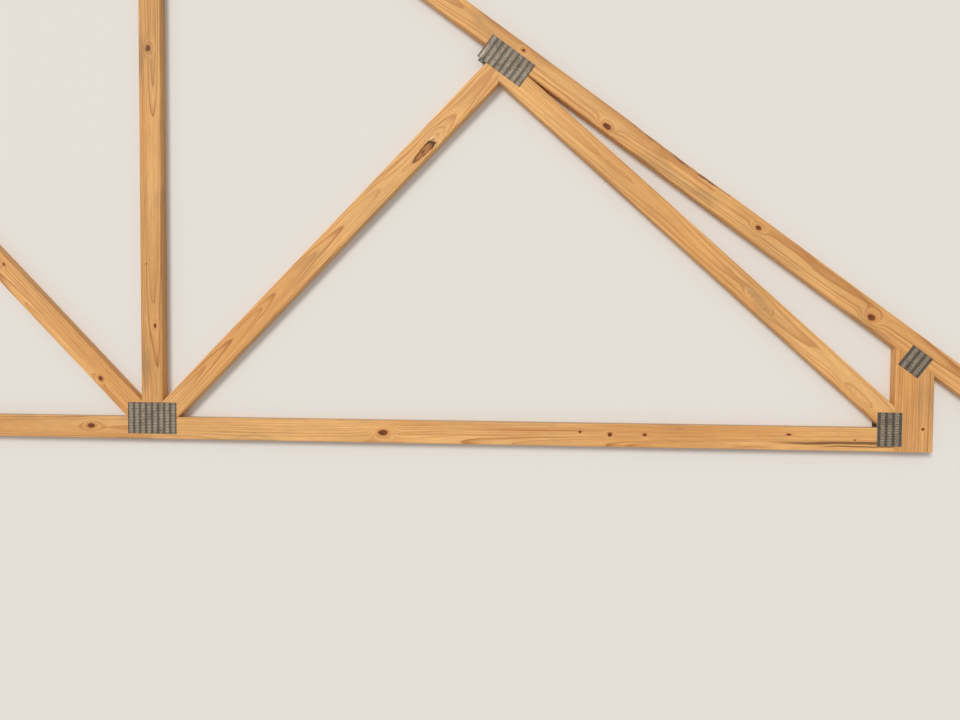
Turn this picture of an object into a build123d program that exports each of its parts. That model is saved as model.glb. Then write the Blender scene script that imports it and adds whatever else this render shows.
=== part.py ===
from build123d import *
import math
import os

# A flat roof truss with a raised heel, lying on its back: X runs along the bottom chord,
# Y from the bottom chord towards the ridge, and Z through the thickness of the wood.
# The origin is the middle of its footprint, on the surface that it lies on.
# It is built in inches that are turned into millimetres, because such lumber is sold in inches.

INCH = 25.4

# Lumber sections
lumber_thickness = 1.5 * INCH
chord_depth = 3.5 * INCH
web_depth = 3.5 * INCH
king_post_width = 3.5 * INCH
end_post_width = 5.5 * INCH
eased_edge = 0.125 * INCH

# Layout of the truss
bottom_chord_half = 113.5 * INCH
roof_rise_per_foot = 9.0 * INCH
one_foot = 12.0 * INCH
heel_height = 15.625 * INCH
eave_overhang = 12.0 * INCH
panel_point = 54.875 * INCH
panel_bearing = 0.6 * INCH
inner_web_foot = 6.0 * INCH
outer_web_foot = 6.8 * INCH

# Toothed connector plates
plate_thickness = 0.036 * INCH
slot_length = 0.55 * INCH
slot_width = 0.125 * INCH
column_pitch = 1.0 * INCH
row_pitch = 0.5 * INCH
row_margin = 0.5 * INCH
splice_plate_size = (8.0 * INCH, 5.0 * INCH)
splice_plate_lift = 0.8 * INCH
heel_plate_size = (3.5 * INCH, 5.0 * INCH)
heel_plate_lap = 1.1 * INCH
heel_plate_lift = 0.8 * INCH
panel_plate_size = (8.0 * INCH, 4.0 * INCH)
panel_plate_reach = 5.6 * INCH
panel_plate_drop = 2.2 * INCH
post_plate_size = (3.5 * INCH, 3.5 * INCH)
post_plate_drop = 1.75 * INCH
ridge_plate_size = (5.0 * INCH, 4.0 * INCH)
ridge_plate_drop = 2.0 * INCH

# Worked out from the sizes above
pitch = math.atan2(roof_rise_per_foot, one_foot)
half_span = bottom_chord_half + end_post_width
chord_plumb_depth = chord_depth / math.cos(pitch)
heel_underside = heel_height - chord_plumb_depth
ridge_underside = heel_underside + half_span * math.tan(pitch)
overall_height = ridge_underside + chord_plumb_depth
king_side = king_post_width / 2
wood_bottom = plate_thickness
wood_middle = wood_bottom + lumber_thickness / 2
wood_top = wood_bottom + lumber_thickness
spare = 12.0 * INCH


def underside(x):
    """Height of the right top chord's underside at a distance from the middle."""
    return ridge_underside - x * math.tan(pitch)


def in_plane(x, y):
    """A point of the truss at mid thickness, measured from the middle of the chord's lower edge."""
    return Vector(x, y - overall_height / 2, wood_middle)


def board(start, end, depth, side):
    """Eased lumber along one of its edges: side is 1 where the wood lies to the left of start to end."""
    first, last = in_plane(*start), in_plane(*end)
    along = (last - first).normalized()
    across = Vector(-along.Y, along.X, 0) * side
    section = Plane(origin=first + across * (depth / 2), x_dir=across, z_dir=along)
    return extrude(section * RectangleRounded(depth, lumber_thickness, eased_edge), (last - first).length)


def saw(wood, point, direction):
    """Saws the wood through a point and keeps the side that the direction points to."""
    origin = in_plane(*point)
    along = Vector(*direction, 0).normalized()
    return split(wood, bisect_by=Plane(origin=origin, z_dir=along), keep=Keep.TOP)


def saw_under_top_chord(wood):
    """Cuts a piece off along the right top chord's underside."""
    return saw(wood, (0, ridge_underside), (-math.sin(pitch), -math.cos(pitch)))


def longer(start, end):
    """The same line, carried on past both of its ends so that the saw cuts have wood to cut."""
    length = math.dist(start, end)
    step = [(b - a) / length * spare for a, b in zip(start, end)]
    return ((start[0] - step[0], start[1] - step[1]), (end[0] + step[0], end[1] + step[1]))


def top_chord():
    """Right top chord, plumb cut at the ridge and at its tail."""
    tail = half_span + eave_overhang
    start, end = longer((0, underside(0)), (tail, underside(tail)))
    wood = board(start, end, chord_depth, 1)
    wood = saw(wood, (0, 0), (1, 0))
    return saw(wood, (tail, 0), (-1, 0))


def bottom_chord():
    """Right half of the bottom chord, square cut at the middle and at the end post."""
    return board((0, 0), (bottom_chord_half, 0), chord_depth, 1)


def king_post():
    """Upright on the splice, with a pointed top that fits under both top chords."""
    wood = board((king_side, chord_depth), (king_side, overall_height), king_post_width, 1)
    wood = saw_under_top_chord(wood)
    return mirror(saw_under_top_chord(mirror(wood, Plane.YZ)), Plane.YZ)


def inner_web():
    """Web from the king post's foot up to the panel point, cut on four sides."""
    foot = (king_side, inner_web_foot)
    head = (panel_point, underside(panel_point) + panel_bearing)
    wood = board(*longer(foot, head), web_depth, -1)
    wood = saw(wood, (king_side, 0), (1, 0))
    wood = saw(wood, (0, chord_depth), (0, 1))
    wood = saw(wood, (panel_point, 0), (-1, 0))
    return saw_under_top_chord(wood)


def outer_web():
    """Web from the panel point down to the foot of the end post, cut on four sides."""
    head = (panel_point, underside(panel_point) + panel_bearing)
    foot = (bottom_chord_half, outer_web_foot)
    wood = board(*longer(head, foot), web_depth, -1)
    wood = saw(wood, (panel_point, 0), (1, 0))
    wood = saw(wood, (0, chord_depth), (0, 1))
    wood = saw(wood, (bottom_chord_half, 0), (-1, 0))
    return saw_under_top_chord(wood)


def end_post():
    """Raised heel: an upright at the end of the bottom chord, bevelled under the top chord."""
    wood = board((half_span, 0), (half_span, overall_height), end_post_width, 1)
    return saw_under_top_chord(wood)


def slot_places(size):
    """Middles of a plate's slots, in columns across its length and rows down its width."""
    columns = math.floor(size[0] / column_pitch)
    rows = math.floor((size[1] - 2 * row_margin) / row_pitch) + 1
    first_column = -(columns - 1) / 2 * column_pitch
    first_row = -(rows - 1) / 2 * row_pitch
    return [
        (first_column + i * column_pitch, first_row + j * row_pitch)
        for i in range(columns)
        for j in range(rows)
    ]


def toothed_plate(centre, size, turn, height):
    """Punched steel plate on the wood: its slots are what the pressed-in teeth leave open."""
    slots = Locations(*slot_places(size)) * Rectangle(slot_length, slot_width)
    sheet = Rectangle(*size) - Sketch() - slots
    place = Location((centre[0], centre[1] - overall_height / 2, height), (0, 0, turn))
    return extrude(place * sheet, plate_thickness)


def both_faces(centre, size, turn=0):
    """The plate on the upper face of the wood and its twin on the lower face."""
    return (
        toothed_plate(centre, size, turn, wood_top),
        toothed_plate(centre, size, turn, 0),
    )


def along_chord(x, reach, drop):
    """A point a reach down the slope and a drop square below the chord's underside, from x."""
    return (
        x + reach * math.cos(pitch) - drop * math.sin(pitch),
        underside(x) - reach * math.sin(pitch) - drop * math.cos(pitch),
    )


chord_turn = -math.degrees(pitch)

wood_pairs = {
    "top_chord": top_chord(),
    "bottom_chord": bottom_chord(),
    "inner_web": inner_web(),
    "outer_web": outer_web(),
    "end_post": end_post(),
}

panel_centre = along_chord(
    panel_point,
    panel_plate_reach - panel_plate_size[0] / 2,
    panel_plate_drop - panel_plate_size[1] / 2,
)
post_centre = along_chord(half_span - end_post_width / 2, 0, post_plate_drop - post_plate_size[1] / 2)
heel_centre = (
    bottom_chord_half + heel_plate_lap - heel_plate_size[0] / 2,
    heel_plate_lift + heel_plate_size[1] / 2,
)
plate_pairs = {
    "panel_plate": both_faces(panel_centre, panel_plate_size, chord_turn),
    "post_plate": both_faces(post_centre, post_plate_size, chord_turn),
    "heel_plate": both_faces(heel_centre, heel_plate_size),
}
middle_plates = {
    "splice_plate": both_faces((0, splice_plate_lift + splice_plate_size[1] / 2), splice_plate_size),
    "ridge_plate": both_faces((0, ridge_underside - ridge_plate_drop + ridge_plate_size[1] / 2),
                              ridge_plate_size),
}

nodes = {"king_post": king_post()}
for name, solid in wood_pairs.items():
    nodes[f"{name}_right"] = solid
    nodes[f"{name}_left"] = mirror(solid, Plane.YZ)
for name, faces in plate_pairs.items():
    for face, solid in zip(("front", "back"), faces):
        nodes[f"{name}_right_{face}"] = solid
        nodes[f"{name}_left_{face}"] = mirror(solid, Plane.YZ)
for name, faces in middle_plates.items():
    for face, solid in zip(("front", "back"), faces):
        nodes[f"{name}_{face}"] = solid

os.makedirs("parts", exist_ok=True)
for name, solid in nodes.items():
    solid.label = name
    export_step(solid, f"parts/{name}.step")
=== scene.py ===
import math
from collections import namedtuple

import bmesh
import bpy
import numpy as np
from mathutils import Matrix, Vector, noise


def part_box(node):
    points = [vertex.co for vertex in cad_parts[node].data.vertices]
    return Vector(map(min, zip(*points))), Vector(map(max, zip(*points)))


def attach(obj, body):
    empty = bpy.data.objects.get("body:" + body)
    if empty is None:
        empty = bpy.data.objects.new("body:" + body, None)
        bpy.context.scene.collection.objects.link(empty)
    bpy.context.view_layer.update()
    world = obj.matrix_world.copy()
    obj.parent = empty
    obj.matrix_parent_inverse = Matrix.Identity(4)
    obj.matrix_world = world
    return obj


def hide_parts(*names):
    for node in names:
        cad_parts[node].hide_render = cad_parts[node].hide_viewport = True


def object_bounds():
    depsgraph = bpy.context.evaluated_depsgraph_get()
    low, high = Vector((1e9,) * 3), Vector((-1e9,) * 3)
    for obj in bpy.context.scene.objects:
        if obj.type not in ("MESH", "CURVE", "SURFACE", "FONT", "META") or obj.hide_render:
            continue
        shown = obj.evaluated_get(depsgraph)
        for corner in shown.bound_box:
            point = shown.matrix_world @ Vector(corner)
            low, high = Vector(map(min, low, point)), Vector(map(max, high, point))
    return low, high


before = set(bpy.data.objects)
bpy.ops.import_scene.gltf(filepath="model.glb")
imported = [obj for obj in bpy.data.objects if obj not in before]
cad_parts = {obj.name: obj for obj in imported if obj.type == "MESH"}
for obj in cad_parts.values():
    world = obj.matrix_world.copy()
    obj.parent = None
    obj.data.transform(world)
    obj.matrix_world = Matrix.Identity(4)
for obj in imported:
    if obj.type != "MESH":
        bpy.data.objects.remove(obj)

# A wooden roof truss that lies flat. X runs along its bottom chord, Y from the chord to the
# ridge and Z through the thickness of the wood. Lengths are in metres, but lumber is sold in
# inches, so its sizes are inches times INCH. Where each piece lies comes from its CAD part in model.glb.

cad_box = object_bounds()
INCH = 0.0254

# Noise stretched along the grain: how many features it has to a metre along and across it, the
# number added to the board's seed, its detail, and where patches cut from it begin and are full
Grain = namedtuple("Grain", "along across seed detail start full", defaults=(2.0, 0.0, 1.0))

# A colour laid over another: how much it covers at most, and how it is mixed in
Coat = namedtuple("Coat", "colour amount blend", defaults=("MIX",))


def colour(red, green, blue):
    """A colour given as it looks on a screen, 0 to 255, as the linear colour that a shader takes."""
    def linear(value):
        value /= 255
        return value / 12.92 if value <= 0.04045 else ((value + 0.055) / 1.055) ** 2.4
    return (linear(red), linear(green), linear(blue), 1.0)


def inches(*values):
    return tuple(value * INCH for value in values)


# Boards: sections stand STATION_STEP apart, twice FINE_STEP at wane, and FINE_STEP at a knot, out to
# KNOT_MARGIN times its reach.
EASED_EDGE = 0.125 * INCH
ARC_STEPS = 4
FLAT_STEP = 0.15 * INCH
STATION_STEP = 0.5 * INCH
FINE_STEP = 0.12 * INCH
KNOT_MARGIN = 1.3
END_ALLOWANCE = 0.25 * INCH
BARK_DEPTH = 0.02 * INCH
SHARP_ANGLE = math.radians(35)

# Toothed connector plates
SLOT_LENGTH = 0.55 * INCH
SLOT_WIDTH = 0.125 * INCH
COLUMN_PITCH = 1.0 * INCH
ROW_PITCH = 0.25 * INCH
ROW_MARGIN = 0.25 * INCH
TOOTH_BEND = 0.055 * INCH
TOOTH_REACH = 0.1 * INCH
BEND_STEPS = 4

# Tolerances: parts of a unit vector that count as 0 or 1, slots that just fit, points that are one
NEARLY_ZERO = 0.01
NEARLY_ONE = 0.99
ROUNDING = 1e-4
WELD = 1e-6

# Years of growth: how far the rings stray from circles, in long waves and in ripples; how many spells
# of slow growth there are to a year, and their swing in years; the palest late wood; and how late
# wood grew, through one year, as (share of the year, late)
WANDER = Grain(0.9, 5, 0)
WANDER_REACH = 0.030
RIPPLE = Grain(4, 26, 9, 3.0)
RIPPLE_REACH = 0.0026
SPELL_DENSITY = 0.45
SPELL_REACH = 1.6
PALEST_LATE_WOOD = 0.35
YEAR_STOPS = ((0.0, 1.0), (0.05, 0.12), (0.3, 0.0), (0.62, 0.22), (0.86, 0.8), (0.97, 1.0))

# Clear pine: a SHARE is how far a grain darkens and lightens the wood.
EARLY_WOOD = colour(233, 181, 116)
MID_WOOD = colour(219, 161, 96)
MID_WOOD_PATCHES = Grain(1.3, 9, 3, 3.0, 0.3, 0.7)
LATE_WOOD = colour(174, 108, 54)
HEART_TINT = colour(238, 205, 168)
HEART_REACH = inches(2.4, 1.2)
PITCH = Coat(colour(214, 166, 116), 0.55, "MULTIPLY")
PITCH_VEINS = Grain(0.9, 75, 21, 2.0, 0.62, 0.78)
FIBRE = Grain(22, 1300, 5)
FIBRE_SHARE = 0.8
STRANDS = Grain(5, 240, 6, 3.0)
STRAND_SHARE = 0.6
CLOUDS = Grain(2.2, 12, 7, 3.0)
CLOUD_SHARE = 0.42
PORES = Grain(70, 1500, 8, 1.0, 0.68, 0.76)
PORE_SHARE = -0.3

# Kinds of knot: one that has come loose in its hole, one that is grown in, and a branch that ends
# below the face and only bends the grain. RING_RISE is how far the rings rise round each, which
# dies away as exp(-RISE_FADE * nearness ** RISE_POWER), and KNOT_SINK is how deep its face lies
# below the board's. Nearness is 0 at a knot's middle and 1 at its rim.
LOOSE, TIGHT, BURIED = "loose", "tight", "buried"
RING_RISE = {LOOSE: 1.5, TIGHT: 2.9, BURIED: 2.6}
RISE_POWER = 1.6
RISE_FADE = 0.42
KNOT_SINK = {LOOSE: 0.09 * INCH, TIGHT: 0.012 * INCH}
DISH_EDGE = 1.15
DISH_WIDTH = 0.35
BRANCH_START = 0.001
FAR_AWAY = 50.0

# A knot's rim: how it sways, and how uneven and ragged it is, as (share, least)
KNOT_SWAY = Grain(90, 160, 2)
KNOT_SWAY_REACH = 0.0026
KNOT_UNEVEN = Grain(60, 110, 0)
UNEVEN_RANGE = (0.5, 0.75)
KNOT_RAGGED = Grain(80, 260, 37, 3.0)
RAGGED_RANGE = (0.6, 0.7)

# A knot's face. A REACH is at what nearness something begins and is full.
KNOT_HEART = colour(98, 42, 12)
KNOT_WOOD = colour(138, 74, 28)
KNOT_MOTTLE = Grain(70, 150, 11, 4.0, 0.35, 0.65)
FACE_REACH = (1.05, 0.95)
LOOSE_KNOT = Coat(colour(204, 142, 84), 0.75)
LOOSE_REACH = (1.3, 1.1)
KNOT_RING = colour(92, 44, 16)
RING_DENSITY = 38.0
RING_WOBBLE = 4.0
RING_SHARE = 0.2
KNOT_RIM = Coat(colour(72, 34, 14), 0.7)
RIM_REACH = (0.72, 1.0)
KNOT_CORE = Coat(KNOT_RIM.colour, 0.6)
CORE_REACH = (0.22, 0.1)
CHECK = Coat(colour(50, 24, 8), 0.65)
CHECK_REACH = (0.85, 0.55)
CHECK_HALF_WIDTH = (0.09, 0.03)
ROT = Coat(CHECK.colour, 0.75)
ROT_PATCHES = Grain(45, 150, 29, 3.0, 0.56, 0.66)
ROT_REACH = (1.0, 0.8)

# Round a knot: resin, and round the loose one torn wood and a gap, whose inner edge draws nearer to
# the middle by GAP_WIDENING at the knot's far end. A LEAST is what is left where patches are weak.
RESIN = Coat(colour(228, 184, 132), 0.6, "MULTIPLY")
RESIN_REACH = (2.0, 1.0)
FAR_END = (0.25, 0.9)
TORN_WOOD = Coat(colour(244, 214, 160), 0.8)
TORN_PATCHES = Grain(34, 170, 25, 3.0, 0.4, 0.6)
TORN_REACH = (2.1, 1.1)
LEAST_TORN = 0.2
LEAST_PATCH = 0.3
GAP_OUTSIDE = (1.1, 1.03)
GAP_INSIDE = 0.97
GAP_WIDENING = -0.26
GAP_SOFTNESS = 0.09
GAP_PATCHES = Grain(26, 60, 23, 2.0, 0.36, 0.56)

# Bark and wane: the waves of its uneven edge are (height as a share of its depth, how many to a metre)
BARK_DARK = colour(92, 58, 38)
BARK_LIGHT = colour(158, 100, 66)
BARK_MOTTLE = Grain(22, 60, 13, 4.0)
BARK_PATCHES = Grain(14, 40, 15, 3.0, 0.36, 0.56)
WANE_LONG_WAVES = (0.35, 30)
WANE_SHORT_WAVES = (0.15, 120)

# Streaks of pitch, dirt, dust, sawn ends, and the wood in the plates' slots, darkened partly for the
# press's crushing and partly as painted shade from the sheet round each slot. A streak is full within
# the FADE shares of its size, FACING is how squarely a surface faces, and a RANGE is (share, least).
STREAK = Coat(colour(96, 56, 26), 0.85)
STREAK_SWAY = Grain(7, 20, 31)
STREAK_SWAY_REACH = 0.5 * INCH
STREAK_LENGTH_FADE = 0.4
STREAK_WIDTH_FADE = 0.2
SMUDGE = Coat(colour(120, 98, 76), 0.45)
SMUDGE_PATCHES = Grain(3.2, 13, 17, 4.0, 0.56, 0.8)
SPECK = Coat(SMUDGE.colour, 0.4)
SPECK_PATCHES = Grain(150, 260, 33, 1.0, 0.72, 0.77)
DUST = colour(172, 148, 122)
DUST_FACING = (0.5, 0.95)
DUST_DEPTH = Grain(6, 24, 19, 4.0)
DUST_RANGE = (0.8, 0.45)
SAWN_END = Coat(colour(222, 196, 162), 0.9, "MULTIPLY")
SAWN_FACING = (0.3, 0.6)
SAW_SCRATCHES = (40, 60, 1100)
SAW_SEED = 35
SAW_SLANT = 0.35
# Wood in the slots: a darker colour that is partly the press's crushing and partly painted shade from
# the sheet
PRESSED_AND_SHADED_WOOD = colour(64, 44, 30)
CRUSH_AND_SHADE = Grain(300, 600, 27)
CRUSH_AND_SHADE_RANGE = (0.5, 0.62)
FACE_UP = 0.9

# Pine's sheen and relief
PINE_ROUGHNESS = 0.6
PINE_SPECULAR = 0.35
FIBRE_ROUGHNESS = 0.2
LATE_ROUGHNESS = -0.12
FIBRE_RELIEF = 0.8
LATE_RELIEF = 0.4
CRACK_RELIEF = 2.0
PINE_RELIEF = {"Strength": 0.6, "Distance": 0.0005}

# Galvanised steel, which is bowed along its columns of slots and has a painted sheen there for the
# bow's reflection: BOWED is where that begins and is full, as the cosine of turns from column to column
ZINC_DARK = colour(74, 67, 58)
ZINC_LIGHT = colour(108, 101, 90)
SPANGLE_DENSITY = 210.0
SPANGLE_WEIGHTS = (0.4, 0.3, 0.3)
# Painted sheen: lighter zinc laid on the bowed columns for the light they reflect
ZINC_SHEEN = colour(184, 175, 160)
SHEEN_PATCHES = Grain(160, 160, 6, 3.0, 0.2, 0.55)
BOWED = (-0.5, 0.3)
GRIME = Coat(colour(68, 58, 47), 0.4)
GRIME_PATCHES = Grain(30, 30, 4, 4.0, 0.45, 0.75)
ZINC_ROUGHNESS = 0.48
SPANGLE_ROUGHNESS = 0.12
GRIME_ROUGHNESS = 0.1
ZINC_METALLIC = 0.6
ROUGH_SHEET = Grain(420, 420, 2)
ROUGH_RELIEF = 0.3
ROW_RELIEF = -0.6
ZINC_RELIEF = {"Strength": 0.7, "Distance": 0.0003}

# The photograph's view: its focal length in pixels, the point of the picture that lies straight
# down the truss's square-on direction, and where the camera stood beside the truss.
PICTURE_WIDTH = 960
PICTURE_HEIGHT = 720
FOCAL_PIXELS = 666.0
SQUARE_ON_X = 529.0
SQUARE_ON_Y = 340.0
ROLL = math.radians(0.5)
CAMERA_RIGHT_OF_MIDDLE = 59.83 * INCH
CAMERA_ABOVE_CHORD = 16.13 * INCH
CAMERA_OFF_FACE = 101.8 * INCH
SENSOR_WIDTH = 36.0
NEAR_CLIP = 0.05
FAR_CLIP = 100

# Floor and light
FLOOR_REACH = 60.0
FLOOR_ROUGHNESS = 0.9
FLOOR_COLOUR = colour(228, 225, 220)
WORLD_LEVEL = 0.52
WORLD_COLOUR = (1.0, 0.99, 0.975, 1.0)
BACKDROP_COLOUR = colour(229, 224, 216)
SUN_LEVEL = 1.85
SUN_COLOUR = (1.0, 0.975, 0.94)
SUN_WIDTH = math.radians(22)
SUN_SIDE = math.radians(128)
SUN_HEIGHT = math.radians(54)


def feed(socket, value):
    """Joins an input to the socket that is given, or sets it to the value."""
    if isinstance(value, bpy.types.NodeSocket):
        socket.id_data.links.new(value, socket)
    else:
        socket.default_value = value


class Graph:
    """Short calls that add nodes to one node tree. A value may be a number, a tuple or a socket."""

    def __init__(self, tree):
        self.tree = tree

    def add(self, kind, inputs=(), output=0, **settings):
        """A node of that kind, with its inputs set or joined in order; returns one of its outputs."""
        made = self.tree.nodes.new(kind)
        for name, value in settings.items():
            setattr(made, name, value)
        pairs = inputs.items() if isinstance(inputs, dict) else enumerate(inputs)
        for key, value in pairs:
            feed(made.inputs[key], value)
        return made.outputs[output]

    def group(self, name, **inputs):
        """One use of a node group, with its inputs set or joined by name; returns all its outputs."""
        made = self.tree.nodes.new("ShaderNodeGroup")
        made.node_tree = bpy.data.node_groups[name]
        for label, value in inputs.items():
            feed(made.inputs[label], value)
        return made.outputs

    def math(self, operation, *values, clamp=False):
        return self.add("ShaderNodeMath", values, operation=operation, use_clamp=clamp)

    def times(self, a, b):
        return self.math("MULTIPLY", a, b)

    def line(self, value, slope, start, clamp=False):
        """The value times a slope, added to a start."""
        return self.math("MULTIPLY_ADD", value, slope, start, clamp=clamp)

    def around(self, value, share, middle=1.0):
        """A factor that swings about its middle as noise swings about a half."""
        return self.line(value, share, middle - share / 2)

    def at_least(self, value, least):
        """A factor that runs from least to 1 as the value runs from 0 to 1."""
        return self.line(value, 1 - least, least)

    def absolute(self, value):
        return self.math("ABSOLUTE", value)

    def step(self, value, low, high):
        """0 below low, 1 above high, and smooth between; low may be above high."""
        return self.add("ShaderNodeMapRange", {0: value, 1: low, 2: high, 3: 0.0, 4: 1.0},
                        interpolation_type="SMOOTHSTEP")

    def ramp(self, factor, stops):
        """A value that runs from level to level through stops of (factor, level)."""
        made = self.tree.nodes.new("ShaderNodeValToRGB")
        elements = made.color_ramp.elements
        while len(elements) < len(stops):
            elements.new(0.5)
        for element, (place, level) in zip(elements, stops):
            element.position = place
            element.color = (level, level, level, 1.0)
        feed(made.inputs[0], factor)
        return made.outputs[0]

    def vector(self, operation, *values):
        return self.add("ShaderNodeVectorMath", values, operation=operation)

    def scaled(self, a, factor):
        return self.add("ShaderNodeVectorMath", {0: a, 3: factor}, operation="SCALE")

    def dot(self, a, b):
        return self.add("ShaderNodeVectorMath", (a, b), output=1, operation="DOT_PRODUCT")

    def parts(self, a):
        """The three numbers of a vector."""
        made = self.tree.nodes.new("ShaderNodeSeparateXYZ")
        feed(made.inputs[0], a)
        return made.outputs

    def noise(self, place, stretch, seed, detail=2.0, output=0):
        """Noise with that many features to a metre along each axis."""
        moved = self.add("ShaderNodeVectorMath", (place, stretch, (seed, seed * 0.7, seed * 0.3)),
                         operation="MULTIPLY_ADD")
        return self.add("ShaderNodeTexNoise", {"Vector": moved, "Scale": 1.0, "Detail": detail},
                        output=output)

    def grain(self, place, kind, seed=0, output=0):
        """Noise of one kind, from 0 to 1."""
        return self.noise(place, (kind.along, kind.across, kind.across), seed + kind.seed, kind.detail,
                          output)

    def sway(self, place, kind, seed):
        """A vector of noise of one kind that swings about nothing."""
        return self.vector("SUBTRACT", self.grain(place, kind, seed, output=1), (0.5, 0.5, 0.5))

    def patches(self, place, kind, seed=0):
        """Patches with soft edges, cut from noise of one kind: 1 in them and 0 between."""
        return self.step(self.grain(place, kind, seed), kind.start, kind.full)

    def mix(self, factor, a, b, blend="MIX"):
        """A colour: the node's sockets for colours are inputs 6 and 7 and output 2."""
        return self.add("ShaderNodeMix", {0: factor, 6: a, 7: b}, output=2, data_type="RGBA",
                        blend_type=blend)

    def cover(self, under, mask, coat):
        """The colour under with a coat laid over it where the mask is."""
        return self.mix(self.times(mask, coat.amount), under, coat.colour, coat.blend)

    def attribute(self, name):
        """A number that the mesh carries at its vertices."""
        return self.add("ShaderNodeAttribute", output="Fac", attribute_name=name)

    def here(self):
        """The surface point in the truss's frame."""
        return self.add("ShaderNodeTexCoord", output="Object")

    def normal(self):
        return self.add("ShaderNodeNewGeometry", output="Normal")


def new_group(name, vectors, numbers, results):
    """A node group with those inputs and results; returns its graph and both rows of sockets."""
    tree = bpy.data.node_groups.new(name, "ShaderNodeTree")
    for labels, side, kind in ((vectors, "INPUT", "Vector"), (numbers, "INPUT", "Float"),
                               (results, "OUTPUT", "Float")):
        for label in labels.split():
            tree.interface.new_socket(label, in_out=side, socket_type=f"NodeSocket{kind}")
    inside = tree.nodes.new("NodeGroupInput").outputs
    outside = tree.nodes.new("NodeGroupOutput").inputs
    return Graph(tree), inside, outside


def new_material(name):
    """A material, its graph and the inputs of its shader."""
    material = bpy.data.materials.new(name)
    material.use_nodes = True
    return material, Graph(material.node_tree), material.node_tree.nodes["Principled BSDF"].inputs


class Knot:
    """A branch in a board: where it comes out of the upper face, in inches along the board and across
    from its middle line, with its radius, how many times longer it looks, and how much broader it is
    at its further end than at its nearer one."""

    def __init__(self, along, across, radius, stretch=1.4, kind=TIGHT, flare=0.0):
        self.along, self.across, self.radius = inches(along, across, radius)
        self.stretch = stretch
        self.kind = kind
        self.flare = flare


# A dark streak of pitch along the grain: its middle along the board and across from the middle line,
# and half its length and width
Streak = namedtuple("Streak", "middle half_length across half_width")

# Where the log's rounded side leaves one edge of a board short of its corner: the sides of the board
# (1 or -1 across and 1 or -1 up), the stretch along it and the depth
Wane = namedtuple("Wane", "across_side up_side start end depth")

# What sets a board apart: the pith's place beside the board's middle line, how fast it drifts,
# the width of a year's growth, how light the wood is, how strong the tint of its heart is, its
# knots, its wane, the dust on its upper edge and its streaks of pitch
Lumber = namedtuple("Lumber", "pith drift year tone heart knots wane dust streaks",
                    defaults=((), 0.0, ()))

LUMBER = {
    "king_post": Lumber(
        inches(-0.6, -2.6), (0.004, 0.010), 0.17 * INCH, 0.93, 0.6,
        [Knot(14.5, -0.6, 0.22), Knot(24.3, 0.75, 0.09), Knot(58, 0.2, 0.34), Knot(80, -0.8, 0.2)]),
    "bottom_chord_right": Lumber(
        inches(-1.9, -2.6), (0.006, 0.008), 0.16 * INCH, 1.0, 0.3,
        [Knot(37.3, -0.2, 0.38, 1.9), Knot(67.7, 0.45, 0.15), Knot(72.2, 0.1, 0.25, 1.3),
         Knot(77.4, 0.15, 0.2), Knot(98.5, 0.55, 0.12, 3.0), Knot(108, -0.1, 0.1)],
        dust=0.75,
        streaks=[Streak(*inches(106, 12, -0.6, 0.32)), Streak(*inches(109, 8, -1.1, 0.14))]),
    "bottom_chord_left": Lumber(
        inches(-0.8, -2.8), (0.008, 0.008), 0.24 * INCH, 0.97, 0.4,
        [Knot(12, 0.4, 0.35, 1.5), Knot(42, -0.5, 0.28), Knot(58.1, 0.25, 0.42, 1.4),
         Knot(61, -0.9, 0.14), Knot(84, 0.6, 0.3), Knot(103.3, 0.2, 0.36, 1.6)],
        dust=0.75),
    "inner_web_right": Lumber(
        inches(0.5, -1.7), (-0.006, -0.018), 0.17 * INCH, 1.02, 0.2,
        [Knot(58.8, -0.76, 0.48, 4.7, LOOSE, 0.45)]),
    "inner_web_left": Lumber(
        inches(-0.5, -2.0), (-0.012, 0.010), 0.19 * INCH, 1.03, 0.25,
        [Knot(36.5, -0.1, 0.45, 3.0), Knot(43.7, 0.7, 0.17), Knot(41, 0.95, 0.15),
         Knot(68, -0.6, 0.3)]),
    "outer_web_right": Lumber(
        inches(-0.4, -2.7), (0.009, -0.011), 0.18 * INCH, 1.0, 0.25,
        [Knot(54, -0.3, 0.42, 2.2, BURIED), Knot(74, -0.7, 0.3, 5.0, BURIED)]),
    "outer_web_left": Lumber(
        inches(0.9, -3.0), (-0.007, 0.010), 0.22 * INCH, 0.98, 0.3,
        [Knot(17.5, -1.5, 0.5, 1.8), Knot(32, 0.9, 0.28, 2.4), Knot(41, -1.0, 0.3)]),
    "top_chord_right": Lumber(
        inches(0.2, -3.1), (0.005, -0.007), 0.2 * INCH, 0.96, 0.45,
        [Knot(8, -0.7, 0.35), Knot(33, 0.5, 0.24), Knot(47, -0.2, 0.4, 1.5), Knot(74, 0.8, 0.2),
         Knot(91, -0.9, 0.36, 1.8), Knot(118, 0.3, 0.3), Knot(139, -0.4, 0.42, 1.3)],
        [Wane(1, 1, *inches(94, 112, 0.3))]),
    "top_chord_left": Lumber(
        inches(-0.9, -2.4), (-0.006, 0.008), 0.18 * INCH, 0.99, 0.35,
        [Knot(15, 0.4, 0.3), Knot(38, -0.8, 0.22), Knot(63, 0.3, 0.36, 1.6), Knot(88, 0.9, 0.18),
         Knot(104, -0.5, 0.4, 1.4), Knot(129, 0.1, 0.28), Knot(152, -0.9, 0.3)],
        [Wane(1, 1, *inches(110, 127, 0.3))]),
    "end_post_right": Lumber(
        inches(3.4, -2.4), (0.0, 0.02), 0.2 * INCH, 0.97, 0.4, [Knot(3.4, -1.3, 0.12)]),
    "end_post_left": Lumber(
        inches(-1.2, -2.8), (0.01, 0.01), 0.24 * INCH, 0.95, 0.5, [Knot(5.2, -0.9, 0.38, 1.3)]),
}


def reach_of(mesh, direction):
    """How far a mesh reaches along a direction: its least and its most."""
    places = [vertex.co.dot(direction) for vertex in mesh.vertices]
    return min(places), max(places)


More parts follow.
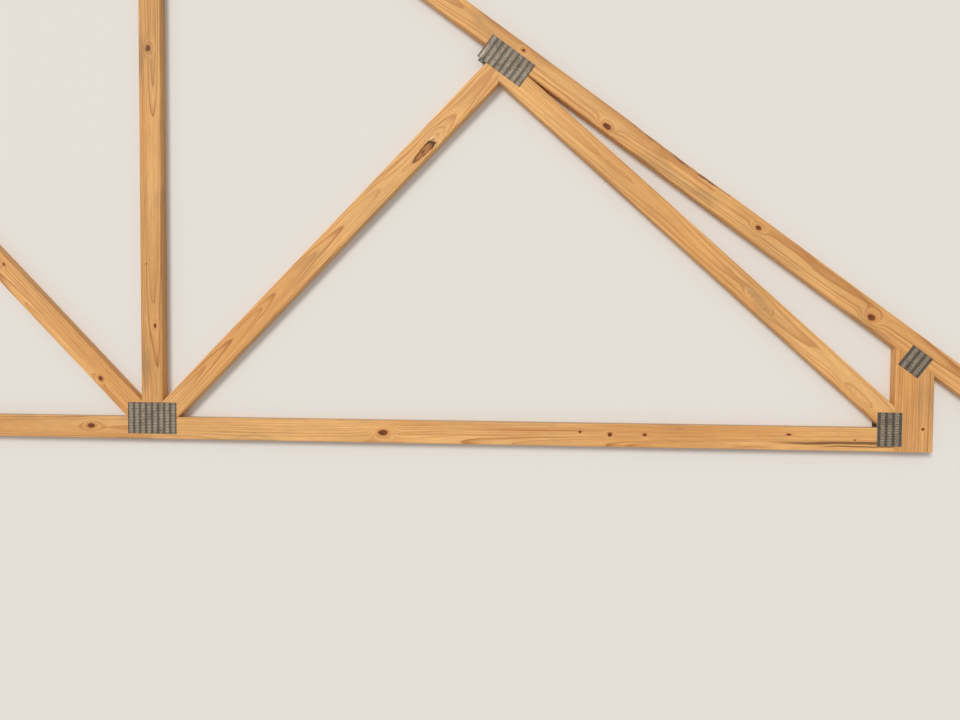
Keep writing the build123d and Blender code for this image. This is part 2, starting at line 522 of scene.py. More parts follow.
class BoardFrame:
    """Where a straight board lies, read from its CAD faces: its grain runs along, across is square to
    that in the truss's plane, origin is where its middle line starts, and cuts are its sawn ends as
    (normal, offset)."""

    def __init__(self, name):
        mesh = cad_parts[name].data
        areas, normals = {}, {}
        for face in mesh.polygons:
            if abs(face.normal.z) < NEARLY_ZERO:
                key = (round(face.normal.x, 2), round(face.normal.y, 2))
                areas[key] = areas.get(key, 0.0) + face.area
                normals.setdefault(key, face.normal.copy())
        edge = normals[max(areas, key=areas.get)]
        along = Vector((-edge.y, edge.x, 0)).normalized()
        if along.x < -NEARLY_ZERO or (abs(along.x) <= NEARLY_ZERO and along.y < 0):
            along = -along
        across = Vector((-along.y, along.x, 0))
        start, end = reach_of(mesh, along)
        near, far = reach_of(mesh, across)
        low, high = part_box(name)
        self.name = name
        self.along = along
        self.across = across
        self.length = end - start
        self.depth = far - near
        self.thickness = high[2] - low[2]
        middle = Vector((0, 0, (high[2] + low[2]) / 2))
        self.origin = along * start + across * (far + near) / 2 + middle
        self.cuts = [(normal, reach_of(mesh, normal)[1]) for normal in normals.values()
                     if abs(normal.dot(across)) < NEARLY_ONE]

    def place(self, along, across, up):
        """Points of the board's own frame, as arrays, in the truss's frame."""
        basis = np.array([self.along, self.across, (0, 0, 1)])
        return np.stack([along, across, up], axis=-1) @ basis + np.array(self.origin)


class PlateFrame:
    """Where a connector plate lies, read from its CAD faces, and how many slots it has each way."""

    def __init__(self, name):
        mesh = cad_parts[name].data
        low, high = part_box(name)
        turns = {}
        for face in mesh.polygons:
            if abs(face.normal.z) < NEARLY_ZERO:
                turn = math.degrees(math.atan2(face.normal.y, face.normal.x)) % 90
                turn = round(turn - 90 if turn > 45 else turn, 2)
                turns[turn] = turns.get(turn, 0.0) + face.area
        self.turn = math.radians(max(turns, key=turns.get))
        self.along = Vector((math.cos(self.turn), math.sin(self.turn), 0))
        self.across = Vector((-self.along.y, self.along.x, 0))
        start, end = reach_of(mesh, self.along)
        near, far = reach_of(mesh, self.across)
        self.size = (end - start, far - near)
        self.middle = self.along * (end + start) / 2 + self.across * (far + near) / 2
        self.low = low[2]
        self.thickness = high[2] - low[2]
        self.columns = math.floor(self.size[0] / COLUMN_PITCH + ROUNDING)
        self.rows = math.floor((self.size[1] - 2 * ROW_MARGIN) / ROW_PITCH + ROUNDING) + 1


PLATES = {node: PlateFrame(node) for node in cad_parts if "_plate" in node}


def eased_section(depth, thickness):
    """Points (across, up) round an eased rectangle, counter-clockwise, also along its flat sides, so
    that these can be carved."""
    arcs = []
    for across_side, up_side, start in ((1, -1, -90), (1, 1, 0), (-1, 1, 90), (-1, -1, 180)):
        middle = (across_side * (depth / 2 - EASED_EDGE), up_side * (thickness / 2 - EASED_EDGE))
        angles = [math.radians(start + 90 * i / ARC_STEPS) for i in range(ARC_STEPS + 1)]
        arcs.append([(middle[0] + EASED_EDGE * math.cos(angle), middle[1] + EASED_EDGE * math.sin(angle))
                     for angle in angles])
    points = []
    for arc, following in zip(arcs, arcs[1:] + arcs[:1]):
        points += arc
        a, b = arc[-1], following[0]
        count = max(1, round(math.dist(a, b) / FLAT_STEP))
        points += [(a[0] + (b[0] - a[0]) * i / count, a[1] + (b[1] - a[1]) * i / count)
                   for i in range(1, count)]
    return np.array(points)


def stations(board, lumber):
    """Distances along a board at which its section is repeated, close together at knots and wane."""
    start, end = -END_ALLOWANCE, board.length + END_ALLOWANCE
    places = [np.linspace(start, end, round((end - start) / STATION_STEP))]
    for knot in lumber.knots:
        reach = knot.radius * knot.stretch * KNOT_MARGIN
        places.append(np.arange(knot.along - reach, knot.along + reach, FINE_STEP))
    for wane in lumber.wane:
        places.append(np.arange(wane.start, wane.end, 2 * FINE_STEP))
    merged = np.unique(np.clip(np.concatenate(places), start, end))
    kept = [merged[0]]
    for place in merged[1:-1]:
        if place - kept[-1] > FINE_STEP / 2:
            kept.append(place)
    return np.array(kept + [merged[-1]])


def wavy(values, scale, seed):
    """Smooth noise between -1 and 1 along a line, the same on every run."""
    return np.array([noise.noise(Vector((value * scale, seed, seed * 0.37))) for value in values])


def knot_line(board, lumber, knot):
    """The branch as a ray: where it leaves the pith, its direction, and how far out the face is."""
    pith = np.array(lumber.pith) + np.array(lumber.drift) * knot.along
    surface = np.array([knot.across, board.thickness / 2])
    out = surface - pith
    reach = float(np.linalg.norm(out))
    return pith, out / reach, reach


def carve_wane(board, lumber, along, across, up):
    """Moves points at a waned edge back to the log's side; returns across, up and how far each moved."""
    depth_cut = np.zeros_like(across)
    (swing, density), (small_swing, small_density) = WANE_LONG_WAVES, WANE_SHORT_WAVES
    for number, wane in enumerate(lumber.wane):
        slope = np.array([wane.across_side, wane.up_side]) / math.sqrt(2)
        corner = (board.depth / 2 + board.thickness / 2) / math.sqrt(2)
        middle, half = (wane.start + wane.end) / 2, (wane.end - wane.start) / 2
        swell = np.clip(1 - ((along[:, 0] - middle) / half) ** 2, 0, 1) ** 0.5
        rough = (1 + swing * wavy(along[:, 0], density, number + board.length)
                 + small_swing * wavy(along[:, 0], small_density, number))
        limit = corner - EASED_EDGE * (math.sqrt(2) - 1) - wane.depth * swell * rough
        over = across * slope[0] + up * slope[1] - limit[:, None]
        over = np.where(swell[:, None] > 0, np.clip(over, 0, None), 0)
        across = across - over * slope[0]
        up = up - over * slope[1]
        depth_cut = np.maximum(depth_cut, over)
    return across, up, depth_cut


def sink_knots(board, lumber, along, across, up):
    """Lets each knot's face lie a little below the board's, and a loose one's deeper; returns up."""
    for knot in lumber.knots:
        if knot.kind == BURIED:
            continue
        pith, out, reach = knot_line(board, lumber, knot)
        side_across = across - pith[0]
        side_up = up - pith[1]
        axial = side_across * out[0] + side_up * out[1]
        off_across = side_across - axial * out[0]
        off_up = side_up - axial * out[1]
        radius = np.clip(axial, BRANCH_START, None) * knot.radius / reach
        off_along = (along - knot.along) / knot.stretch
        narrowed = 1 - knot.flare * np.clip(off_along / radius, -1, 1)
        nearness = np.sqrt(off_along ** 2 + (off_across ** 2 + off_up ** 2) * narrowed ** 2) / radius
        nearness = np.where(axial > 0, nearness, FAR_AWAY)
        dish = np.clip(DISH_EDGE - nearness, 0, DISH_WIDTH) / DISH_WIDTH
        on_flat = np.abs(up) > board.thickness / 2 - EASED_EDGE / 2
        up = np.where(on_flat, up - np.sign(up) * dish * KNOT_SINK[knot.kind], up)
    return up


def object_from(bm, name, material):
    """Turns an edit mesh into a named object with that material, smooth up to its sharp edges."""
    mesh = bpy.data.meshes.new(name)
    bm.to_mesh(mesh)
    bm.free()
    mesh.shade_smooth()
    mesh.set_sharp_from_angle(angle=SHARP_ANGLE)
    mesh.materials.append(material)
    made = bpy.data.objects.new(name, mesh)
    bpy.context.collection.objects.link(made)
    return made


def join_rings(bm, ring, following):
    """Faces between two rings of as many vertices."""
    for j in range(len(ring)):
        k = (j + 1) % len(ring)
        bm.faces.new((ring[j], ring[k], following[k], following[j]))


def saw_board(bm, cuts):
    """Saws the mesh at each plane and closes it again."""
    for normal, offset in cuts:
        geometry = bm.verts[:] + bm.edges[:] + bm.faces[:]
        bmesh.ops.bisect_plane(bm, geom=geometry, dist=WELD, plane_co=normal * offset, plane_no=normal,
                               clear_outer=True)
        open_edges = [edge for edge in bm.edges if edge.is_boundary]
        bmesh.ops.holes_fill(bm, edges=open_edges, sides=0)
    bmesh.ops.dissolve_degenerate(bm, dist=WELD, edges=bm.edges[:])


def make_board(name):
    """A board on its CAD place, with its wane and knots, sawn by the same planes."""
    lumber = LUMBER[name]
    board = BoardFrame(name)
    section = eased_section(board.depth, board.thickness)
    places = stations(board, lumber)
    along = np.repeat(places[:, None], len(section), axis=1)
    across = np.repeat(section[None, :, 0], len(places), axis=0)
    up = np.repeat(section[None, :, 1], len(places), axis=0)
    across, up, waned = carve_wane(board, lumber, along, across, up)
    up = sink_knots(board, lumber, along, across, up)
    points = board.place(along, across, up).reshape(-1, 3)

    bm = bmesh.new()
    bark = bm.verts.layers.float.new("bark")
    vertices = [bm.verts.new(point) for point in points]
    for vertex, depth in zip(vertices, waned.reshape(-1)):
        vertex[bark] = min(1.0, depth / BARK_DEPTH)
    rings = [vertices[i:i + len(section)] for i in range(0, len(vertices), len(section))]
    for ring, following in zip(rings, rings[1:]):
        join_rings(bm, ring, following)
    bm.faces.new(rings[0][::-1])
    bm.faces.new(rings[-1])
    saw_board(bm, board.cuts)
    bmesh.ops.recalc_face_normals(bm, faces=bm.faces[:])
    made = object_from(bm, f"{name}_lumber", pine(board, lumber))
    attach(made, "root")
    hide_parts(name)


def knot_group():
    """Node group: how near a point is to one branch (1 at its rim), how far the rings bulge there, where
    the branch has split, and how far along the knot the point is, from -1 at one end to 1."""
    g, inside, outside = new_group("knot", "Place At Out Squeeze Split", "Taper Flare Rise",
                                   "Near Bulge Check Side")
    relative = g.vector("SUBTRACT", inside["Place"], inside["At"])
    axial = g.dot(relative, inside["Out"])
    sideways = g.vector("SUBTRACT", relative, g.scaled(inside["Out"], axial))
    squeezed = g.vector("MULTIPLY", sideways, inside["Squeeze"])
    radius = g.times(g.math("MAXIMUM", axial, BRANCH_START), inside["Taper"])
    side = g.math("DIVIDE", g.parts(squeezed)[0], radius)
    side = g.math("MAXIMUM", g.math("MINIMUM", side, 1.0), -1.0)
    narrowed = g.math("SUBTRACT", 1.0, g.times(side, inside["Flare"]))
    shape = g.add("ShaderNodeCombineXYZ", (1.0, narrowed, narrowed))
    shaped = g.vector("MULTIPLY", squeezed, shape)
    distance = g.add("ShaderNodeVectorMath", (shaped,), output=1, operation="LENGTH")
    behind = g.times(g.math("LESS_THAN", axial, 0.0), FAR_AWAY)
    near = g.math("ADD", g.math("DIVIDE", distance, radius), behind)
    fading = g.math("EXPONENT", g.times(g.math("POWER", near, RISE_POWER), -RISE_FADE))
    bulge = g.times(g.times(fading, radius), inside["Rise"])
    off_split = g.absolute(g.math("DIVIDE", g.dot(squeezed, inside["Split"]), radius))
    check = g.times(g.step(off_split, *CHECK_HALF_WIDTH), g.step(near, *CHECK_REACH))
    for socket, value in zip(outside, (near, bulge, check, side)):
        feed(socket, value)


def slot_group():
    """Node group: 1 where one plate's slots lie over the wood, by the plate's middle and directions."""
    g, inside, outside = new_group("slots", "Place Middle Along Across Half Shift", "", "Slotted")
    relative = g.vector("SUBTRACT", inside["Place"], inside["Middle"])
    half, shift = g.parts(inside["Half"]), g.parts(inside["Shift"])
    slotted = 1.0
    punching = (("Along", COLUMN_PITCH, SLOT_LENGTH), ("Across", ROW_PITCH, SLOT_WIDTH))
    for i, (label, pitch, slot) in enumerate(punching):
        reach = g.dot(relative, inside[label])
        near = g.math("LESS_THAN", g.absolute(reach), half[i])
        phase = g.math("FRACT", g.line(reach, 1 / pitch, shift[i]))
        off = g.absolute(g.math("SUBTRACT", phase, 0.5))
        open_here = g.times(near, g.math("LESS_THAN", off, slot / pitch / 2))
        slotted = g.times(slotted, open_here)
    feed(outside["Slotted"], slotted)


def board_place(g, board):
    """A surface point in the board's own frame, in metres: along, across and up."""
    turn = math.atan2(board.along.y, board.along.x)
    inputs = {"Vector": g.here(), "Location": tuple(board.origin), "Rotation": (0, 0, turn)}
    return g.add("ShaderNodeMapping", inputs, vector_type="TEXTURE")


def nearest_knot(g, board, lumber, place, seed):
    """How near the nearest branch is, with an uneven rim, all the branches' bulges added up, how near
    the loose knot is, the cracks in the tight ones, and how far along the loose knot a point is."""
    tight, loose, bulges, checks, side = FAR_AWAY, FAR_AWAY, 0.0, 0.0, 0.0
    swayed = g.vector("ADD", place, g.scaled(g.sway(place, KNOT_SWAY, seed), KNOT_SWAY_REACH))
    for knot in lumber.knots:
        pith, out, reach = knot_line(board, lumber, knot)
        # Each knot is split its own way: its place in inches serves as an angle.
        turn = knot.along / INCH
        found = g.group("knot", Place=swayed, At=(knot.along, pith[0], pith[1]),
                        Out=(0.0, out[0], out[1]), Squeeze=(1 / knot.stretch, 1.0, 1.0),
                        Split=(math.cos(turn), math.sin(turn), 0.0), Taper=knot.radius / reach,
                        Flare=knot.flare, Rise=RING_RISE[knot.kind])
        bulges = g.math("ADD", bulges, found["Bulge"])
        if knot.kind == LOOSE:
            loose, side = found["Near"], found["Side"]
        if knot.kind == TIGHT:
            tight = g.math("MINIMUM", tight, found["Near"])
            checks = g.math("MAXIMUM", checks, found["Check"])
    uneven = g.line(g.grain(place, KNOT_UNEVEN, seed), *UNEVEN_RANGE)
    ragged = g.line(g.grain(place, KNOT_RAGGED, seed), *RAGGED_RANGE)
    tight = g.times(tight, uneven)
    loose = g.times(g.times(loose, uneven), ragged)
    return g.math("MINIMUM", tight, loose), bulges, loose, checks, side


def years_of_growth(g, place, board, lumber, seed):
    """How far each point is from the pith, how late in its year the wood there grew, from 0 to 1, and
    what nearest_knot says of the knots."""
    strays = g.vector("ADD", g.scaled(g.sway(place, WANDER, seed), WANDER_REACH),
                      g.scaled(g.sway(place, RIPPLE, seed), RIPPLE_REACH))
    along, across, up = g.parts(g.vector("ADD", place, strays))
    off_across = g.math("SUBTRACT", across, g.line(along, lumber.drift[0], lumber.pith[0]))
    off_up = g.math("SUBTRACT", up, g.line(along, lumber.drift[1], lumber.pith[1]))
    squares = g.math("ADD", g.times(off_across, off_across), g.times(off_up, off_up))
    from_pith = g.math("SQRT", squares)
    near, bulges, loose, checks, side = nearest_knot(g, board, lumber, place, seed)
    grown = g.math("DIVIDE", g.math("SUBTRACT", from_pith, bulges), lumber.year)
    spells = g.add("ShaderNodeTexNoise", {"W": grown, "Scale": SPELL_DENSITY, "Detail": 1.0},
                   noise_dimensions="1D")
    years = g.line(spells, SPELL_REACH, grown)
    vigour = g.add("ShaderNodeTexWhiteNoise", {"W": g.math("FLOOR", years)}, noise_dimensions="1D")
    late = g.ramp(g.math("FRACT", years), YEAR_STOPS)
    late = g.times(late, g.at_least(vigour, PALEST_LATE_WOOD))
    return from_pith, late, near, loose, checks, side


def clear_wood(g, place, lumber, seed, from_pith, late):
    """Colour of sound wood, with the fibre that darkens and lightens it, and the fibre itself."""
    early = g.mix(g.patches(place, MID_WOOD_PATCHES, seed), EARLY_WOOD, MID_WOOD)
    wood = g.mix(late, early, LATE_WOOD)
    heart = g.times(g.step(from_pith, *HEART_REACH), lumber.heart)
    wood = g.mix(heart, wood, HEART_TINT, "MULTIPLY")
    wood = g.cover(wood, g.patches(place, PITCH_VEINS, seed), PITCH)
    fibre = g.grain(place, FIBRE, seed)
    shade = g.times(g.around(fibre, FIBRE_SHARE), g.around(g.grain(place, STRANDS, seed), STRAND_SHARE))
    shade = g.times(shade, g.around(g.grain(place, CLOUDS, seed), CLOUD_SHARE, lumber.tone))
    shade = g.times(shade, g.line(g.patches(place, PORES, seed), PORE_SHARE, 1.0))
    return g.mix(1.0, wood, g.add("ShaderNodeCombineXYZ", (shade, shade, shade)), "MULTIPLY"), fibre


def with_knots(g, wood, place, seed, near, loose, checks, side):
    """Adds the knots: resin round them, a darker rim, and rings and cracks in their faces. The loose
    one is lighter, partly rotten, in a gap that is wider at its far end, where the wood is torn.
    Returns the wood and all its cracks."""
    wood = g.cover(wood, g.step(near, *RESIN_REACH), RESIN)
    mottle = g.grain(place, KNOT_MOTTLE, seed)
    face = g.mix(g.step(mottle, KNOT_MOTTLE.start, KNOT_MOTTLE.full), KNOT_HEART, KNOT_WOOD)
    face = g.cover(face, g.step(loose, *LOOSE_REACH), LOOSE_KNOT)
    rings = g.math("SINE", g.line(near, RING_DENSITY, g.times(mottle, RING_WOBBLE)))
    face = g.mix(g.line(rings, RING_SHARE, RING_SHARE), face, KNOT_RING)
    face = g.cover(face, g.step(near, *RIM_REACH), KNOT_RIM)
    core = g.times(g.step(near, *CORE_REACH), g.step(loose, *LOOSE_REACH[::-1]))
    face = g.cover(face, core, KNOT_CORE)
    face = g.cover(face, checks, CHECK)
    rotten = g.times(g.patches(place, ROT_PATCHES, seed), g.step(loose, *ROT_REACH))
    face = g.cover(face, rotten, ROT)

    far_end = g.step(side, *FAR_END)
    torn = g.times(g.step(loose, *TORN_REACH), g.patches(place, TORN_PATCHES, seed))
    wood = g.cover(wood, g.times(torn, g.at_least(far_end, LEAST_TORN)), TORN_WOOD)
    wood = g.mix(g.step(near, *FACE_REACH), wood, face)

    inner = g.line(far_end, GAP_WIDENING, GAP_INSIDE)
    past_inner = g.step(loose, g.math("SUBTRACT", inner, GAP_SOFTNESS), inner)
    gap = g.times(g.step(loose, *GAP_OUTSIDE), past_inner)
    gap = g.times(gap, g.at_least(g.patches(place, GAP_PATCHES, seed), LEAST_PATCH))
    return g.mix(gap, wood, CHECK.colour), g.math("MAXIMUM", gap, checks)


def sawn_end(g, normal, board):
    """1 on the sawn ends of a board, also on slanting ones, and 0 on its long sides."""
    return g.step(g.absolute(g.dot(normal, tuple(board.along))), *SAWN_FACING)


def soiled(g, wood, place, board, lumber, seed):
    """Adds bark on the wane, streaks of pitch, dirt, dust on what faces the ridge, and the tone of
    the sawn ends."""
    bark = g.mix(g.grain(place, BARK_MOTTLE, seed), BARK_DARK, BARK_LIGHT)
    barked = g.times(g.attribute("bark"), g.at_least(g.patches(place, BARK_PATCHES, seed), LEAST_PATCH))
    wood = g.mix(barked, wood, bark)
    along, across = g.parts(place)[:2]
    for streak in lumber.streaks:
        sway = g.times(g.math("SUBTRACT", g.grain(place, STREAK_SWAY, seed), 0.5), STREAK_SWAY_REACH)
        off_along = g.absolute(g.math("SUBTRACT", along, streak.middle))
        off_across = g.absolute(g.math("ADD", g.math("SUBTRACT", across, streak.across), sway))
        near = g.times(g.step(off_along, streak.half_length, streak.half_length * STREAK_LENGTH_FADE),
                       g.step(off_across, streak.half_width, streak.half_width * STREAK_WIDTH_FADE))
        wood = g.cover(wood, near, STREAK)
    wood = g.cover(wood, g.patches(place, SMUDGE_PATCHES, seed), SMUDGE)
    wood = g.cover(wood, g.patches(place, SPECK_PATCHES, seed), SPECK)
    normal = g.normal()
    if lumber.dust:
        settled = g.step(g.dot(normal, (0.0, 1.0, 0.0)), *DUST_FACING)
        thick = g.line(g.grain(place, DUST_DEPTH, seed), *DUST_RANGE, clamp=True)
        wood = g.mix(g.times(g.times(settled, thick), lumber.dust), wood, DUST)
    return g.cover(wood, sawn_end(g, normal, board), SAWN_END)


def pressed_and_shaded(g, wood, place, board, seed):
    """Darkens the wood that shows in the plates' slots, partly for the press's crushing and partly as
    painted shade from the sheet round each slot.
    """
    here = g.here()
    low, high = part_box(board.name)
    slotted = 0.0
    for plate in PLATES.values():
        reach = math.hypot(*plate.size) / 2
        if any(not low[i] - reach < plate.middle[i] < high[i] + reach for i in (0, 1)):
            continue
        found = g.group("slots", Place=here, Middle=plate.middle, Along=plate.along, Across=plate.across,
                        Half=(plate.columns * COLUMN_PITCH / 2, plate.rows * ROW_PITCH / 2, 0),
                        Shift=(plate.columns / 2, plate.rows / 2, 0))
        slotted = g.math("MAXIMUM", slotted, found["Slotted"])
    flat = g.math("GREATER_THAN", g.absolute(g.parts(g.normal())[2]), FACE_UP)
    crush_and_shade = g.line(g.grain(place, CRUSH_AND_SHADE, seed), *CRUSH_AND_SHADE_RANGE, clamp=True)
    # Painted shade: the slot's wood is darkened for the sheet's shade as well as for its crushing
    return g.mix(g.times(g.times(slotted, flat), crush_and_shade), wood, PRESSED_AND_SHADED_WOOD)


def saw_marks(g, place, board, seed):
    """Relief on the sawn ends: fine scratches that the blade left, a little askew to the board."""
    turned = g.add("ShaderNodeMapping", {"Vector": place, "Rotation": (SAW_SLANT, 0, 0)})
    scratches = g.noise(turned, SAW_SCRATCHES, seed + SAW_SEED, 3.0)
    return g.times(sawn_end(g, g.normal(), board), scratches)


def pine(board, lumber):
    """Southern pine for one board: its years of growth round its pith, bulging round its knots."""
    seed = sum(ord(letter) * (i + 1) for i, letter in enumerate(board.name)) % 97
    material, g, shader = new_material(f"pine_{board.name}")
    place = board_place(g, board)
    from_pith, late, near, loose, checks, side = years_of_growth(g, place, board, lumber, seed)
    wood, fibre = clear_wood(g, place, lumber, seed, from_pith, late)
    wood, cracks = with_knots(g, wood, place, seed, near, loose, checks, side)
    wood = soiled(g, wood, place, board, lumber, seed)
    wood = pressed_and_shaded(g, wood, place, board, seed)
    feed(shader["Base Color"], wood)
    rough = g.line(fibre, FIBRE_ROUGHNESS, g.line(late, LATE_ROUGHNESS, PINE_ROUGHNESS))
    feed(shader["Roughness"], rough)
    feed(shader["Specular IOR Level"], PINE_SPECULAR)
    height = g.math("ADD", g.times(late, LATE_RELIEF), g.times(fibre, FIBRE_RELIEF))
    height = g.math("SUBTRACT", height, g.times(cracks, CRACK_RELIEF))
    height = g.math("ADD", height, saw_marks(g, place, board, seed))
    feed(shader["Normal"], g.add("ShaderNodeBump", {**PINE_RELIEF, "Height": height}))
    return material


def galvanised():
    """Punched galvanised sheet: dull zinc with faint spangle, a painted sheen in patches where it is
    bowed along its columns of slots, and browner where fingers and dust were."""
    material, g, shader = new_material("galvanised_sheet")
    here = g.here()
    spangle = g.add("ShaderNodeTexVoronoi", {"Vector": here, "Scale": SPANGLE_DENSITY}, output="Color")
    tone = g.dot(spangle, SPANGLE_WEIGHTS)
    zinc = g.mix(tone, ZINC_DARK, ZINC_LIGHT)
    mid_column = g.math("COSINE", g.times(g.attribute("column_number"), math.tau))
    bowed = g.times(g.step(mid_column, *BOWED), g.attribute("punched"))
    # Painted sheen: lighter zinc, in patches, where the sheet is bowed along its columns
    zinc = g.mix(g.times(bowed, g.patches(here, SHEEN_PATCHES)), zinc, ZINC_SHEEN)
    grime = g.patches(here, GRIME_PATCHES)
    feed(shader["Base Color"], g.cover(zinc, grime, GRIME))
    rough = g.line(tone, SPANGLE_ROUGHNESS, g.line(grime, GRIME_ROUGHNESS, ZINC_ROUGHNESS))
    feed(shader["Roughness"], rough)
    feed(shader["Metallic"], ZINC_METALLIC)
    mid_row = g.math("COSINE", g.times(g.attribute("row_number"), math.tau))
    crown = g.times(mid_row, g.times(bowed, ROW_RELIEF))
    height = g.line(g.grain(here, ROUGH_SHEET), ROUGH_RELIEF, crown)
    feed(shader["Normal"], g.add("ShaderNodeBump", {**ZINC_RELIEF, "Height": height}))
    return material


def plate_lines(count, pitch, slot, size):
    """Grid lines across a plate in one direction: its two edges and both sides of each slot."""
    first = -(count - 1) / 2 * pitch
    lines = [-size / 2]
    for i in range(count):
        lines += [first + i * pitch - slot / 2, first + i * pitch + slot / 2]
    return lines + [size / 2]


def add_tooth(bm, end, inward, thickness):
    """A tooth's root at one end of a slot: the strip bends down from the sheet into the wood. end is
    the slot's end wall, as two corners on the sheet's upper side and two on its lower side."""
    outer, inner = TOOTH_BEND, max(TOOTH_BEND - thickness, 0)
    profile = []
    for i in range(1, BEND_STEPS + 1):
        angle = math.pi / 2 * i / BEND_STEPS
        profile.append((outer * math.sin(angle), outer * (math.cos(angle) - 1),
                        inner * math.sin(angle), inner * (math.cos(angle) - 1)))
    profile.append((outer, -outer - TOOTH_REACH, outer - thickness, thickness - outer - TOOTH_REACH))
    corners = [vertex.co.copy() for vertex in end]
    ring = list(end)
    for out_x, out_z, in_x, in_z in profile:
        over = inward * out_x + Vector((0, 0, out_z))
        under = inward * in_x + Vector((0, 0, in_z))
        following = [bm.verts.new(corner + move)
                     for corner, move in zip(corners, (over, over, under, under))]
        join_rings(bm, ring, following)
        ring = following
    bm.faces.new(ring)


def make_plate(name, material):
    """A connector plate on its CAD place, with every row of its slots and the roots of its teeth."""
    plate = PLATES[name]
    thickness = plate.thickness
    xs = plate_lines(plate.columns, COLUMN_PITCH, SLOT_LENGTH, plate.size[0])
    ys = plate_lines(plate.rows, ROW_PITCH, SLOT_WIDTH, plate.size[1])

    bm = bmesh.new()
    row_number = bm.verts.layers.float.new("row_number")
    column_number = bm.verts.layers.float.new("column_number")
    punched = bm.verts.layers.float.new("punched")
    top = [[bm.verts.new((x, y, thickness)) for x in xs] for y in ys]
    for y, line in zip(ys, top):
        for x, vertex in zip(xs, line):
            vertex[row_number] = y / ROW_PITCH + (plate.rows - 1) / 2
            vertex[column_number] = x / COLUMN_PITCH + (plate.columns - 1) / 2
            vertex[punched] = float(ys[0] < y < ys[-1])
    bottom = [[bm.verts.new((x, y, 0)) for x in xs] for y in ys]

    # Every second cell both ways is a slot, with a tooth at each end.
    last_row, last_column = len(ys) - 1, len(xs) - 1
    for j in range(last_row):
        for i in range(last_column):
            upper = (top[j][i], top[j][i + 1], top[j + 1][i + 1], top[j + 1][i])
            lower = (bottom[j][i], bottom[j][i + 1], bottom[j + 1][i + 1], bottom[j + 1][i])
            if i % 2 and j % 2:
                bm.faces.new((upper[0], lower[0], lower[1], upper[1]))
                bm.faces.new((upper[2], lower[2], lower[3], upper[3]))
                add_tooth(bm, (upper[3], upper[0], lower[0], lower[3]), Vector((1, 0, 0)), thickness)
                add_tooth(bm, (upper[1], upper[2], lower[2], lower[1]), Vector((-1, 0, 0)), thickness)
            else:
                bm.faces.new(upper)
                bm.faces.new(lower[::-1])
    edge = [(j, 0) for j in range(last_row + 1)]
    edge += [(last_row, i) for i in range(1, last_column + 1)]
    edge += [(j, last_column) for j in range(last_row - 1, -1, -1)]
    edge += [(0, i) for i in range(last_column - 1, 0, -1)]
    join_rings(bm, [top[j][i] for j, i in edge], [bottom[j][i] for j, i in edge])
    bmesh.ops.recalc_face_normals(bm, faces=bm.faces[:])

    # The teeth point into the wood, so a plate under the truss is turned over.
    on_top = plate.low > (cad_box[0].z + cad_box[1].z) / 2
    flip = Matrix.Identity(4) if on_top else Matrix.Rotation(math.pi, 4, "X")
    height = plate.low if on_top else plate.low + thickness
    seat = Matrix.Translation(plate.middle + Vector((0, 0, height)))
    bm.transform(seat @ Matrix.Rotation(plate.turn, 4, "Z") @ flip)
    made = object_from(bm, f"{name}_sheet", material)
    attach(made, "root")
    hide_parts(name)


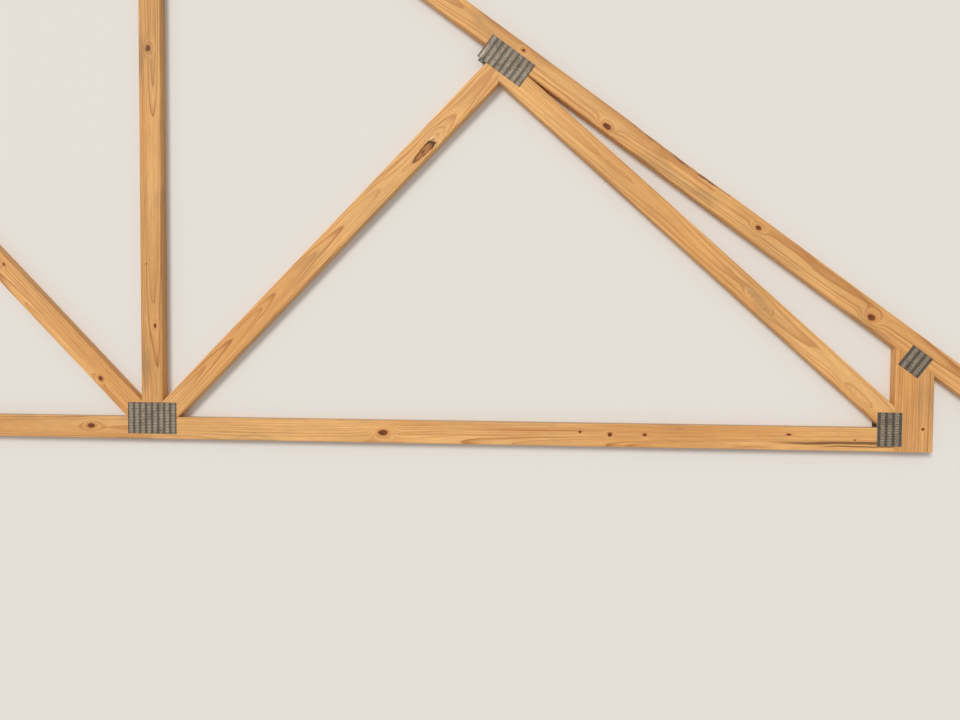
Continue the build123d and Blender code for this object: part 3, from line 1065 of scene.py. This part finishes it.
def make_camera():
    """The camera at the photograph's place, seen from the truss lying down."""
    square_on = Vector((SQUARE_ON_X - PICTURE_WIDTH / 2, PICTURE_HEIGHT / 2 - SQUARE_ON_Y, FOCAL_PIXELS))
    square_on.normalize()
    along = Vector((math.sin(ROLL), math.cos(ROLL), 0)).cross(square_on).normalized()
    towards_ridge = square_on.cross(along)
    right = Vector((along.x, towards_ridge.x, -square_on.x))
    up = Vector((along.y, towards_ridge.y, -square_on.y))
    back = Vector((-along.z, -towards_ridge.z, square_on.z))
    chord_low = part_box("bottom_chord_right")[0]
    wood_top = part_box("king_post")[1][2]
    height = chord_low[1] + CAMERA_ABOVE_CHORD
    place = Vector((CAMERA_RIGHT_OF_MIDDLE, height, wood_top + CAMERA_OFF_FACE))
    data = bpy.data.cameras.new("camera")
    data.sensor_fit = "HORIZONTAL"
    data.sensor_width = SENSOR_WIDTH
    data.lens = FOCAL_PIXELS / PICTURE_WIDTH * SENSOR_WIDTH
    data.clip_start = NEAR_CLIP
    data.clip_end = FAR_CLIP
    camera = bpy.data.objects.new("camera", data)
    camera.matrix_world = Matrix.Translation(place) @ Matrix((right, up, back)).transposed().to_4x4()
    bpy.context.collection.objects.link(camera)
    bpy.context.scene.camera = camera


def make_floor():
    """A plain pale floor under the truss."""
    bm = bmesh.new()
    bmesh.ops.create_grid(bm, x_segments=1, y_segments=1, size=FLOOR_REACH)
    material, _, shader = new_material("floor")
    feed(shader["Base Color"], FLOOR_COLOUR)
    feed(shader["Roughness"], FLOOR_ROUGHNESS)
    object_from(bm, "floor", material)


def make_light():
    """Even light from all round, before a pale backdrop, and a wide soft sun from beyond the ridge."""
    world = bpy.data.worlds.new("studio")
    world.use_nodes = True
    g = Graph(world.node_tree)
    rays = world.node_tree.nodes.new("ShaderNodeLightPath").outputs
    mirrored = g.math("MAXIMUM", rays["Is Glossy Ray"], rays["Is Transmission Ray"])
    seen = g.math("MAXIMUM", rays["Is Camera Ray"], mirrored)
    background = world.node_tree.nodes["Background"].inputs
    feed(background["Color"], g.mix(seen, WORLD_COLOUR, BACKDROP_COLOUR))
    feed(background["Strength"], g.at_least(seen, WORLD_LEVEL))
    bpy.context.scene.world = world
    lamp = bpy.data.lights.new("soft_sun", "SUN")
    lamp.energy = SUN_LEVEL
    lamp.angle = SUN_WIDTH
    lamp.color = SUN_COLOUR
    holder = bpy.data.objects.new("soft_sun", lamp)
    level = math.cos(SUN_HEIGHT)
    towards = Vector((math.cos(SUN_SIDE) * level, math.sin(SUN_SIDE) * level, math.sin(SUN_HEIGHT)))
    holder.rotation_euler = towards.to_track_quat("Z", "Y").to_euler()
    bpy.context.collection.objects.link(holder)


make_camera()
make_light()
make_floor()
knot_group()
slot_group()
for node in LUMBER:
    make_board(node)
sheet = galvanised()
for node in PLATES:
    make_plate(node, sheet)

bpy.context.scene.view_settings.view_transform = "Standard"
